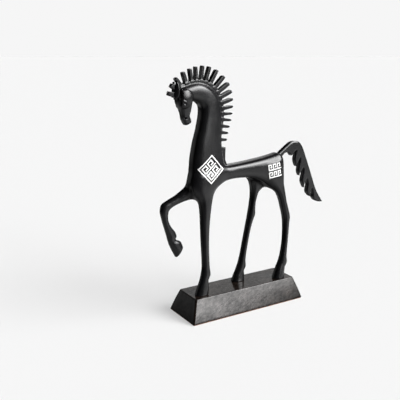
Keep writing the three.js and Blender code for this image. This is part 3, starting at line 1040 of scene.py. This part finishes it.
@dataclass
class Head(Cast):
    """The wedge-shaped head, with cheeks, eyes, nostrils and ears.

    What lies on both sides is given for the right one. An ear is narrow at its ends and swells in
    between, more at its foot than at its tip.
    """

    low: Triple = (-73, -10, 178)
    high: Triple = (-48, 10, 222)
    step: float = 0.3
    reach: float = 3.0
    skull: Limb = Limb(
        ribs(
            (-64.5, 213.6, -58.6, 213.8, 3),
            (-66.8, 209.4, -55, 209.4, 4.9),
            (-67.9, 204, -52.4, 204, 5.8),
            (-66.9, 199.4, -53, 198.6, 5.5),
            (-64.6, 195, -54, 193, 4.5),
            (-63.3, 190.5, -54.8, 189, 3.8),
            (-62.6, 187, -53.7, 186, 3.9),
            (-61.4, 184, -53.7, 183.4, 3.6),
            (-60, 181.6, -57, 181.3, 2),
        ),
        squareness=3.2,
    )
    cheek: Disc = Disc(CHEEK_MIDDLE, bulge=(-59.0, 205.2), radius=7.9, half_width=7.9, dome=0.026, rim=1.0)
    cheek_fillet: float = 0.9
    cheek_front: float = -65.2
    cheek_front_ease: float = 1.5
    brow: Ball = Ball((-62.3, 6.2, 202.3), (2.6, 1.35, 0.6), ease=0.8, tilt=28.0)
    socket: Ball = Ball((-62.6, 7.35, 200.5), (1.8, 0.9, 0.9), ease=0.6, tilt=28.0, cut=True)
    eye: Ball = Ball((-62.7, 5.75, 200.4), (0.8, 0.6, 0.4), ease=0.25, tilt=28.0)
    temple: Ball = Ball((-65.8, 6.0, 203.6), (0.7, 1.3, 5.0), ease=0.5, cut=True)
    nostril: Ball = Ball((-60.3, 3.8, 187.7), (1.7, 2.4, 0.9), ease=0.3, cut=True)
    ear_base: Pair = (-69.2, 205.4)
    ear_tip: Pair = (-68.0, 218.9)
    ear_end_half_width: float = 0.5
    ear_half_width: float = 2.65
    ear_low_swell: float = 1.15
    ear_narrowing: float = 0.5
    ear_half_depth: float = 1.0
    ear_side: float = 3.1
    ear_turn: float = 0.8
    ear_fillet: float = 0.9

    def ear(self, grid: Grid, hand: int) -> np.ndarray:
        """Works out the distance to one ear, a slim upright leaf that is turned outwards.

        Args:
            grid: Where the distance is worked out.
            hand: 1 for the right ear and -1 for the left.

        Returns:
            Roughly the distance at each place, negative inside the ear.
        """
        rise = self.ear_tip[1] - self.ear_base[1]
        up = (grid.z - self.ear_base[1]) / rise
        lean = grid.x - self.ear_base[0] - up * (self.ear_tip[0] - self.ear_base[0])
        side = grid.y - hand * self.ear_side
        cos, sin = math.cos(self.ear_turn), math.sin(self.ear_turn)
        depth = lean * cos - side * hand * sin
        width = lean * sin + side * hand * cos
        share = np.clip(up, 0.0, 1.0)
        swell = np.sqrt(4 * share * (1 - share)) * (self.ear_low_swell - self.ear_narrowing * share)
        half = self.ear_end_half_width + self.ear_half_width * swell
        leaf = np.hypot(depth / self.ear_half_depth, width / half)
        body = (leaf - 1) * self.ear_half_depth
        return np.maximum(body, (np.abs(up - 0.5) - 0.5) * rise).astype(np.float32)

    def build(self, material: bpy.types.Material) -> bpy.types.Object:
        """Builds the head as one piece.

        Args:
            material: What the head is finished with.

        Returns:
            The head.
        """
        grid = self.grid()
        cheek = carved(grid.of_disc(self.cheek), grid.x - self.cheek_front, self.cheek_front_ease)
        shape = joined(grid.of_mesh(*self.skull.skin()), cheek, self.cheek_fillet)
        for hand in (-1, 1):
            for ball in (self.brow, self.socket, self.eye, self.temple, self.nostril):
                shape = grid.with_ball(shape, ball, hand)
            shape = joined(shape, self.ear(grid, hand), self.ear_fillet)
        return as_object("head", *grid.skin(shape), material)


@dataclass
class Mane(Cast):
    """The comb-like mane: a band along the crest, its teeth and the block at its foot.

    Teeth are counted from the forehead. `places` says how far along the crest some of them stand and
    `widths` how wide some are, and the others follow evenly in between. Teeth get narrower and rounder
    towards their tips from `pointed_from` on, and are pointed after `pointed_to`.
    """

    low: Triple = (-80, -6, 136)
    high: Triple = (-3, 6, 235)
    step: float = 0.3
    reach: float = 2.5
    crest: tuple[Pair, ...] = (
        (-69.4, 204), (-67, 211.4), (-61.4, 217), (-53, 219.7), (-43.5, 220.2), (-34.5, 217.6),
        (-27.4, 212.2), (-22.6, 204.8), (-19.8, 196), (-19.2, 187), (-20.4, 177), (-21.6, 167),
        (-22, 158),
    )
    foot: tuple[Pair, ...] = ((-26, 160), (-17, 158.6), (-17.2, 147), (-14.5, 141), (-26, 139))
    places: tuple[Pair, ...] = (
        (0, 3.7), (2, 13.6), (4, 25.1), (5, 29.9), (7, 39.8), (8, 45.1), (9, 51.3), (12, 67.6),
        (15, 82.8), (16, 88.8), (17, 94.6), (18, 101.1),
    )
    teeth: int = 19
    thickness: float = 4.7
    widths: tuple[Pair, ...] = (
        (1, 4.1), (2, 3.0), (3, 3.1), (5, 2.5), (7, 2.9), (9, 3.5), (12, 3.6), (14, 3.2),
        (18, 3.3),
    )
    taper: float = 0.94
    low_taper: float = 0.7
    root_depth: float = 2.0
    pointed_from: float = 11.0
    pointed_to: float = 14.0
    forehead_length: float = 7.3
    crown_length: float = 12.9
    withers_length: float = 6.0
    crown_from: float = 8.0
    crown_to: float = 10.5
    fall: float = 0.8
    corner: float = 0.25
    round_from: float = 0.72
    look_ahead: float = 0.5
    band_depth: float = 7.0
    band_thickness: float = 4.7
    band_edge: float = 0.5
    band_steps: int = 80
    fillet: float = 1.0
    foot_fillet: float = 1.3
    foot_reach: float = 2.2
    sunk: float = 0.15

    def lengths(self) -> np.ndarray:
        """Works out the teeth's lengths.

        Returns:
            The length of each tooth, from the forehead down to the withers.
        """
        tooth = np.arange(self.teeth)
        rise = np.clip(tooth / self.crown_from, 0, 1)
        rise = rise * rise * (3 - 2 * rise)
        past = np.clip((tooth - self.crown_to) / (self.teeth - 1 - self.crown_to), 0, 1) ** self.fall
        rising = self.forehead_length + rise * (self.crown_length - self.forehead_length)
        falling = self.crown_length + past * (self.withers_length - self.crown_length)
        return np.where(tooth < self.crown_from, rising, falling)

    def crest_line(self, steps: int = 400) -> np.ndarray:
        """The crest as closely spaced points."""
        return through(self.crest, np.linspace(0, 1, steps + 1), Spacing.UNIFORM)

    def roots(self) -> bpy.types.Object:
        """Sets out one point for each tooth, with the tooth's way and sizes stored on it.

        Returns:
            An object of these points alone.
        """
        line = self.crest_line()
        gone = np.concatenate([[0], np.hypot(*np.diff(line, axis=0).T).cumsum()])
        numbers, spots = zip(*self.places)
        spot = np.interp(np.arange(self.teeth), numbers, spots)
        root = np.stack([np.interp(spot, gone, line[:, k]) for k in range(2)], 1)
        ahead = np.stack([np.interp(spot + self.look_ahead, gone, line[:, k]) for k in range(2)], 1)
        run = (ahead - root) / np.hypot(*(ahead - root).T)[:, None]
        tooth = np.arange(self.teeth)
        low = np.clip((tooth - self.pointed_from) / (self.pointed_to - self.pointed_from), 0, 1)
        width = np.interp(tooth, *zip(*self.widths)) * METRES
        mesh = bpy.data.meshes.new("tooth_roots")
        mesh.from_pydata([(x * METRES, 0, z * METRES) for x, z in root], [], [])
        columns = {
            "run": np.stack([run[:, 0], np.zeros(self.teeth), run[:, 1]], 1),
            "out": np.stack([-run[:, 1], np.zeros(self.teeth), run[:, 0]], 1),
            "tooth_length": self.lengths() * METRES,
            "tooth_root": width,
            "tooth_tip": width * (self.taper + low * (self.low_taper - self.taper)),
            "tooth_round": self.corner + low * (1 - self.corner),
        }
        for name, values in columns.items():
            kind, key = ("FLOAT_VECTOR", "vector") if values.ndim == 2 else ("FLOAT", "value")
            stored = mesh.attributes.new(name, kind, "POINT").data
            stored.foreach_set(key, values.astype(np.float32).ravel())
        return linked("tooth_roots", mesh)

    def teeth_mesh(self, material: bpy.types.Material) -> tuple[np.ndarray, np.ndarray]:
        """Grows the teeth on their roots with geometry nodes.

        Args:
            material: What the teeth are finished with.

        Returns:
            The teeth's corners in millimetres, and triangles.
        """
        holder = self.roots()
        modifier = holder.modifiers.new("teeth", "NODES")
        modifier.node_group = tooth_tree(material)
        sizes = {
            "Thickness": self.thickness * METRES,
            "Root Depth": self.root_depth * METRES,
            "Round From": self.round_from,
        }
        for item in modifier.node_group.interface.items_tree:
            if item.name in sizes:
                modifier[item.identifier] = sizes[item.name]
        evaluated = holder.evaluated_get(bpy.context.evaluated_depsgraph_get())
        mesh = bpy.data.meshes.new_from_object(evaluated)
        mesh.calc_loop_triangles()
        points = np.array([vertex.co for vertex in mesh.vertices]) / METRES
        triangles = np.array([triangle.vertices for triangle in mesh.loop_triangles])
        bpy.data.objects.remove(holder)
        bpy.data.meshes.remove(mesh)
        return points, turned_out(points, triangles)

    def build(self, material: bpy.types.Material, neck: Limb) -> bpy.types.Object:
        """Builds the mane as one piece.

        Small fillets lie between the teeth and the band, and a larger one runs from the band down onto
        the neck.

        Args:
            material: What the mane is finished with.
            neck: The neck that the band stands on.

        Returns:
            The mane.
        """
        grid = self.grid()
        line = self.crest_line(self.band_steps)
        run = np.gradient(line, axis=0)
        inward = np.stack([run[:, 1], -run[:, 0]], 1) / np.hypot(*run.T)[:, None]
        band = grid.of_plate(
            np.concatenate([line, (line + inward * self.band_depth)[::-1]]),
            self.band_thickness,
            self.band_edge,
            self.band_edge,
        )
        block = grid.of_plate(np.array(self.foot), self.band_thickness, self.band_edge, self.band_edge)
        shape = joined(band, block, self.fillet)
        skirt = np.maximum(grid.of_mesh(*neck.skin()) + self.sunk, shape - self.foot_reach)
        shape = joined(shape, skirt, self.foot_fillet)
        shape = joined(shape, grid.of_mesh(*self.teeth_mesh(material)), self.fillet)
        return as_object("mane", *grid.skin(shape), material)


def tooth_tree(material: bpy.types.Material, rings: int = 25, roundest: float = 0.97) -> bpy.types.NodeTree:
    """Builds the geometry nodes that grow one tapered bar on every root point.

    Args:
        material: What the bars are finished with.
        rings: How many rings of corners a bar has.
        roundest: How far along its round a bar's tip is cut off, so that it never ends in a point.

    Returns:
        The node group, with the inputs Thickness, Root Depth and Round From.
    """
    tree = bpy.data.node_groups.new("mane_teeth", "GeometryNodeTree")
    tree.is_modifier = True
    tree.interface.new_socket("Geometry", in_out="INPUT", socket_type="NodeSocketGeometry")
    sizes = ("Thickness", "Root Depth", "Round From")
    for name in sizes:
        tree.interface.new_socket(name, in_out="INPUT", socket_type="NodeSocketFloat")
    tree.interface.new_socket("Geometry", in_out="OUTPUT", socket_type="NodeSocketGeometry")
    nodes = Nodes(tree)
    given = nodes.make("NodeGroupInput", {}, {}).outputs
    place = nodes.make("GeometryNodeInputPosition", {}, {}).outputs[0]
    storing = {"data_type": "FLOAT_VECTOR", "domain": "POINT"}

    def stored(name: str, kind: str = "FLOAT") -> Term:
        """Reads what each root or corner has stored."""
        made = nodes.make("GeometryNodeInputNamedAttribute", {"data_type": kind}, {"Name": name})
        return Term(nodes, made.outputs[0])

    def moved(way: str, distance: Term) -> bpy.types.NodeSocket:
        """A move along one of the ways that are stored on the roots."""
        inputs = {0: stored(way, "FLOAT_VECTOR"), "Scale": distance}
        return nodes.make("ShaderNodeVectorMath", {"operation": "SCALE"}, inputs).outputs[0]

    def remembered(shape: bpy.types.NodeSocket, name: str) -> bpy.types.NodeSocket:
        """Stores the place of every point of a shape on it."""
        inputs = {"Geometry": shape, "Name": name, 3: place}
        return nodes.make("GeometryNodeStoreNamedAttribute", storing, inputs).outputs[0]

    cube = nodes.make("GeometryNodeMeshCube", {}, {"Size": (1, 1, 1), "Vertices Z": rings}).outputs[0]
    grown = {"Points": remembered(given["Geometry"], "root"), "Instance": remembered(cube, "local")}
    copies = nodes.make("GeometryNodeInstanceOnPoints", {}, grown).outputs[0]
    bars = nodes.make("GeometryNodeRealizeInstances", {}, {0: copies}).outputs[0]

    parts = nodes.make("ShaderNodeSeparateXYZ", {}, {0: stored("local", "FLOAT_VECTOR")}).outputs
    along, across, up = (Term(nodes, part) for part in parts)
    thickness, depth, start = (Term(nodes, given[name]) for name in sizes)
    up = up + 0.5
    root_width = stored("tooth_root")
    taper = root_width + up * (stored("tooth_tip") - root_width)
    past = ((up - start) / (1 - start)).clamped(0.0, roundest)
    bow = nodes.math("SQRT", 1 - past * past)
    width = taper * (1 - (1 - bow) * stored("tooth_round"))
    height = up * (stored("tooth_length") + depth) - depth
    spot = stored("root", "FLOAT_VECTOR")
    aside = nodes.make("ShaderNodeCombineXYZ", {}, {1: across * thickness}).outputs[0]
    for move in (moved("out", height), moved("run", along * width), aside):
        spot = nodes.make("ShaderNodeVectorMath", {"operation": "ADD"}, {0: spot, 1: move}).outputs[0]
    shaped = nodes.make("GeometryNodeSetPosition", {}, {"Geometry": bars, "Position": spot}).outputs[0]
    dressed = nodes.make("GeometryNodeSetMaterial", {}, {"Geometry": shaped, "Material": material})
    nodes.make("NodeGroupOutput", {}, {0: dressed.outputs[0]})
    return tree


@dataclass(frozen=True)
class Lock:
    """One lock of the tail.

    Its back runs down from the notch behind it to its point, and its front swells forward and
    runs up from the point into the notch before it.
    """

    front: tuple[Pair, ...]
    back: tuple[Pair, ...] = ()


@dataclass
class Tail(Cast):
    """The tail: an upright plate with a smooth back edge and a front edge of pointed locks."""

    low: Triple = (38, -5, 88)
    high: Triple = (108, 5, 161)
    step: float = 0.3
    reach: float = 2.0
    ridge: tuple[Pair, ...] = (
        (42, 145.2), (53, 152.8), (60, 157), (65.6, 157.6), (70.4, 156.1), (74.7, 150.8),
        (80.1, 139.2), (87.5, 122), (95, 104.8), (104.3, 91.4),
    )
    locks: tuple[Lock, ...] = (
        Lock(
            front=(
                (104.3, 91.4), (99.4, 91.7), (95.2, 93.2), (92.2, 95.4), (90.9, 97.9),
                (90.8, 100.6), (90.3, 103.6), (89.4, 107),
            )
        ),
        Lock(
            back=((89.4, 107), (88.2, 105.6), (87.2, 104), (87.4, 101.2), (87.8, 98.6)),
            front=(
                (87.8, 98.6), (85.6, 100.2), (83.2, 102.8), (82.3, 105.2), (82.7, 108.5),
                (83.2, 111.5), (82.9, 114.6), (82, 117.8),
            ),
        ),
        Lock(
            back=((82, 117.8), (81, 116.1), (79.9, 114.4), (79, 112), (79.1, 108.8)),
            front=(
                (79.1, 108.8), (77.4, 111.4), (75.8, 114.8), (75.4, 117.6), (75.9, 120.6),
                (76.6, 123.4), (77, 126.6), (76.5, 129.6),
            ),
        ),
        Lock(
            back=((76.5, 129.6), (75.8, 128.3), (74.4, 126.5), (72.6, 124.4), (72.2, 121.8)),
            front=(
                (72.2, 121.8), (70.8, 124.8), (70.2, 127.8), (70.6, 131.4), (71.4, 134.6),
                (71.9, 137.2), (71.9, 140.3),
            ),
        ),
        Lock(
            back=((71.9, 140.3), (71.1, 138.6), (69.5, 135.9), (68.3, 133.8), (67.5, 132.1)),
            front=(
                (67.5, 132.1), (66, 135), (65.1, 138.3), (65, 140.5), (65.4, 142.8), (66, 145.2),
                (66.6, 148.2),
            ),
        ),
    )
    underside: tuple[Pair, ...] = (
        (64.2, 146.6), (62.4, 144.4), (60.8, 143.5), (59.6, 144.3), (58.3, 146.2), (55.8, 147.4),
        (52.4, 146.7), (46, 141),
    )
    ridge_steps: int = 90
    lock_steps: int = 24
    thickness: float = 5.4
    bevel_in: float = 1.2
    bevel_across: float = 0.7

    def outline(self) -> np.ndarray:
        """Draws the tail's outline, from the croup round the locks and back.

        Returns:
            The outline's corners in X and Z, one row each.
        """
        runs = [through(self.ridge, np.linspace(0, 1, self.ridge_steps), Spacing.UNIFORM)]
        for lock in self.locks:
            for edge in (lock.back, lock.front):
                if edge:
                    runs.append(through(edge, np.linspace(0, 1, self.lock_steps), Spacing.UNIFORM))
        runs.append(np.array(self.underside))
        return np.concatenate(runs)

    def build(self, material: bpy.types.Material) -> bpy.types.Object:
        """Builds the tail as one piece.

        Args:
            material: What the tail is finished with.

        Returns:
            The tail.
        """
        grid = self.grid()
        shape = grid.of_plate(self.outline(), self.thickness, self.bevel_in, self.bevel_across)
        return as_object("tail", *grid.skin(shape), material)


@dataclass
class Plinth:
    """The plinth: a truncated pyramid on an oblong foot, with rounded edges and slightly crowned sides.

    The margin is the width of the flat strips beside each rounded corner, `rows` is how many bands of
    faces a side has and `steps` how many a rounding has.
    """

    length: float = 128.5
    width: float = 46.5
    top_length: float = 114.0
    top_width: float = 31.0
    height: float = GROUND
    crown: float = 0.25
    corner: float = 1.8
    corner_shrink: float = 0.5
    foot_round: float = 1.75
    top_round: float = 0.6
    margin: float = 0.3
    rows: int = 14
    steps: int = 8

    def profile(self) -> list[Pair]:
        """Lays out the plinth's levels.

        Returns:
            The height of each level, and how far it is drawn in round the foot and the top edge.
        """
        quarter = [step / self.steps * math.pi / 2 for step in range(self.steps + 1)]
        arc = [(1 - math.sin(a), 1 - math.cos(a)) for a in quarter]
        foot = [(self.foot_round * up, self.foot_round * inward) for up, inward in arc]
        top = [(self.height - self.top_round * down, self.top_round * inward) for down, inward in arc]
        low, high = foot[0][0], top[0][0]
        sides = [(low + (high - low) * row / self.rows, 0.0) for row in range(1, self.rows)]
        return foot[::-1] + sides + top

    def level(self, z: float, drawn_in: float) -> list[Triple]:
        """Lays out one level, an oblong with rounded corners.

        Args:
            z: The level's height.
            drawn_in: How far it is drawn in from the crowned sides.

        Returns:
            The level's corners.
        """
        share = z / self.height
        out = self.crown * 4 * share * (1 - share) - drawn_in
        half_x = (self.length + share * (self.top_length - self.length)) / 2 + out
        half_y = (self.width + share * (self.top_width - self.width)) / 2 + out
        radius = self.corner - drawn_in * self.corner_shrink
        points = []
        for quarter, (side_x, side_y) in enumerate(((1, 1), (-1, 1), (-1, -1), (1, -1))):
            for step in range(-1, self.steps + 2):
                part = min(max(step, 0), self.steps)
                turn = (quarter + part / self.steps) * math.pi / 2
                aside = (step - part) * self.margin
                x = side_x * (half_x - radius) + radius * math.cos(turn) - aside * math.sin(turn)
                y = side_y * (half_y - radius) + radius * math.sin(turn) + aside * math.cos(turn)
                points.append((x, y, z))
        return points

    def build(self, material: bpy.types.Material) -> bpy.types.Object:
        """Builds the plinth as one piece.

        Args:
            material: What the plinth is finished with.

        Returns:
            The plinth.
        """
        shell = bmesh.new()
        rings = [[shell.verts.new(corner) for corner in self.level(*at)] for at in self.profile()]
        shell.faces.new(rings[0][::-1])
        shell.faces.new(rings[-1])
        for low, high in zip(rings, rings[1:]):
            for a, b in zip(range(len(low)), [*range(1, len(low)), 0]):
                shell.faces.new((low[a], low[b], high[b], high[a]))
        for face in shell.faces:
            face.smooth = len(face.verts) == 4
        bmesh.ops.triangulate(shell, faces=[face for face in shell.faces if len(face.verts) > 4])
        bmesh.ops.scale(shell, vec=(METRES,) * 3, verts=shell.verts)
        return of_shell("plinth", shell, material)


@dataclass
class Camera:
    """The photograph's view, with its focal length and its frame in pixels."""

    azimuth: float = -31.315
    elevation: float = 14.152
    distance: float = 569.4
    focal: float = 621.9
    frame: float = 400.0
    sensor: float = 36.0
    aim: Triple = (-43.39, 0.0, 111.71)
    clip: Pair = (0.01, 100.0)

    def build(self) -> None:
        """Sets the camera up and makes it the scene's own."""
        turn, rise = math.radians(self.azimuth), math.radians(self.elevation)
        away = Vector((math.sin(turn) * math.cos(rise), -math.cos(turn) * math.cos(rise), math.sin(rise)))
        data = bpy.data.cameras.new("camera")
        data.sensor_width = self.sensor
        data.lens = self.focal / self.frame * self.sensor
        data.clip_start, data.clip_end = self.clip
        eye = bpy.data.objects.new("camera", data)
        eye.location = (Vector(self.aim) + away * self.distance) * METRES
        eye.rotation_euler = (-away).to_track_quat("-Z", "Y").to_euler()
        bpy.context.scene.collection.objects.link(eye)
        bpy.context.scene.camera = eye


@dataclass(frozen=True)
class Window:
    """A soft-edged window of light far away, with its place and size as seen from the figure.

    Angles are in degrees. The turn is 0 straight out from the near flank and grows towards the tail.
    """

    name: str
    turn: float
    rise: float
    width: float
    height: float
    level: float
    softness: float = 6.0

    def light(self, nodes: Nodes, turn: Term, rise: Term) -> Term:
        """Works out how bright the window is in each direction.

        Args:
            nodes: The world's nodes.
            turn: The direction's turn, in degrees.
            rise: Its rise, in degrees.

        Returns:
            The brightness.
        """
        aside = abs((turn + (180 - self.turn)).wrapped(360) - 180)
        above = abs(rise - self.rise)
        across = aside.eased(self.width / 2 - self.softness, self.width / 2 + self.softness, 1, 0)
        upright = above.eased(self.height / 2 - self.softness, self.height / 2 + self.softness, 1, 0)
        return across * upright * self.level


@dataclass
class Studio:
    """The plain pale floor, its backdrop and the soft light."""

    pale: float = 0.921
    floor_glow: float = 0.46
    floor_albedo: float = 0.358
    radius: float = 12.0
    floor_sides: int = 64
    backdrop_sides: int = 48
    windows: tuple[Window, ...] = (
        Window("key", 22, 21, 22, 34, 14.5),
        Window("key side", 46, 30, 28, 18, 22.0),
        Window("key side low", 46, 13, 28, 16, 1.5),
        Window("key foot", 41, 13.5, 14, 6.6, 7.0, 1.5),
        Window("key top", 46, 47, 52, 18, 14.0),
        Window("overhead", 45, 72, 90, 36, 1.8, 10),
        Window("back", 138, 10, 46, 40, 0.85, 8),
        Window("low back", 134, 0, 40, 22, 1.4),
        Window("right", 90, 10, 40, 30, 0.2, 8),
        Window("table right", 50, -18, 70, 20, 1.35, 8),
        Window("table right low", 50, -38, 80, 24, 0.85, 8),
        Window("table back right", 115, -34, 60, 26, 2.3, 8),
        Window("table left", -34, -36, 80, 26, 0.5, 8),
        Window("table back", -140, -36, 90, 30, 0.6, 8),
        Window("far wall", -141, 4, 50, 20, 0.4),
        Window("under", 0, -68, 360, 44, 0.3, 8),
    )

    def floor(self) -> None:
        """Lays the floor, and stands a backdrop of the same tone far behind it."""
        material, nodes = new_material("floor")
        matt = nodes.make("ShaderNodeBsdfDiffuse", {}, {"Color": (self.floor_albedo,) * 3 + (1,)})
        glow = self.glow(nodes, self.floor_glow)
        both = nodes.make("ShaderNodeAddShader", {}, {0: glow, 1: matt.outputs[0]})
        nodes.make("ShaderNodeOutputMaterial", {}, {"Surface": both.outputs[0]})
        disc = bmesh.new()
        bmesh.ops.create_circle(disc, cap_ends=True, radius=self.radius, segments=self.floor_sides)
        self.stand("floor", disc, material)
        material, nodes = new_material("backdrop")
        nodes.make("ShaderNodeOutputMaterial", {}, {"Surface": self.glow(nodes, self.pale)})
        dome, sides = bmesh.new(), self.backdrop_sides
        bmesh.ops.create_uvsphere(dome, u_segments=sides, v_segments=sides // 2, radius=self.radius)
        self.stand("backdrop", dome, material)

    def glow(self, nodes: Nodes, level: float) -> bpy.types.NodeSocket:
        """A plain white glow."""
        return nodes.make("ShaderNodeEmission", {}, {"Color": (1, 1, 1, 1), "Strength": level}).outputs[0]

    def stand(self, name: str, shell: bmesh.types.BMesh, material: bpy.types.Material) -> None:
        """Puts up a piece of the studio that shows, but lights and shades nothing.

        Args:
            name: The piece's name.
            shell: Its shell, in metres.
            material: What it is finished with.
        """
        prop = of_shell(name, shell, material)
        prop.visible_diffuse = prop.visible_glossy = prop.visible_transmission = prop.visible_shadow = False

    def sky(self) -> None:
        """Surrounds the figure with the windows of light."""
        world = bpy.data.worlds.new("studio")
        world.use_nodes = True
        bpy.context.scene.world = world
        nodes = Nodes(world.node_tree)
        spot = nodes.make("ShaderNodeTexCoord", {}, {}).outputs["Generated"]
        x, y, z = (Term(nodes, part) for part in nodes.make("ShaderNodeSeparateXYZ", {}, {0: spot}).outputs)
        turn = nodes.math("ARCTAN2", x, 0 - y) * math.degrees(1)
        rise = nodes.math("ARCSINE", z) * math.degrees(1)
        level = sum((window.light(nodes, turn, rise) for window in self.windows), 0)
        light = nodes.make("ShaderNodeBackground", {}, {"Strength": level})
        nodes.make("ShaderNodeOutputWorld", {}, {"Surface": light.outputs[0]})

    def build(self) -> None:
        """Builds the studio round the figure."""
        self.floor()
        self.sky()
        bpy.context.scene.view_settings.view_transform = "Standard"


# The panels on the shoulder and on the haunch.
PANELS = (
    KeyPanel(
        middle=(-37.1, 141.1),
        turn=41.5,
        half_width=9.5,
        half_height=9.4,
        columns=2,
        rows=2,
        unit=(6, 6),
        line=1.1,
        gap=1.15,
    ),
    KeyPanel(
        middle=(35.0, 132.9),
        turn=7.5,
        half_width=7.3,
        half_height=6.7,
        columns=3,
        rows=2,
        unit=(5, 5),
    ),
)


@dataclass
class Sculpture:
    """The whole figure on its plinth."""

    metal: CastMetal = CastMetal(panels=PANELS)
    wood: StainedWood = StainedWood()
    body: Body = field(default_factory=Body)
    head: Head = field(default_factory=Head)
    mane: Mane = field(default_factory=Mane)
    tail: Tail = field(default_factory=Tail)
    plinth: Plinth = field(default_factory=Plinth)

    def build(self) -> list[bpy.types.Object]:
        """Builds every piece and fixes it to the frame.

        Returns:
            The pieces.
        """
        metal, wood = self.metal.made(), self.wood.made()
        mane = self.mane.build(metal, self.body.neck)
        cast = [self.body.build(metal), self.head.build(metal), mane, self.tail.build(metal)]
        plinth = self.plinth.build(wood)
        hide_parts("horse")
        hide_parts("base")
        for piece in (*cast, plinth):
            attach(piece, "root")
        return [*cast, plinth]


def main() -> None:
    """Builds the figure in its studio and writes down how large it is."""
    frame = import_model()
    logging.basicConfig(level=logging.INFO, format="%(name)s %(message)s")
    LOG.info("frame with %d nodes", len(frame["nodes"]))
    Camera().build()
    Studio().build()
    for piece in Sculpture().build():
        LOG.info("%s: %d faces", piece.name, len(piece.data.polygons))


if __name__ == "__main__":
    main()
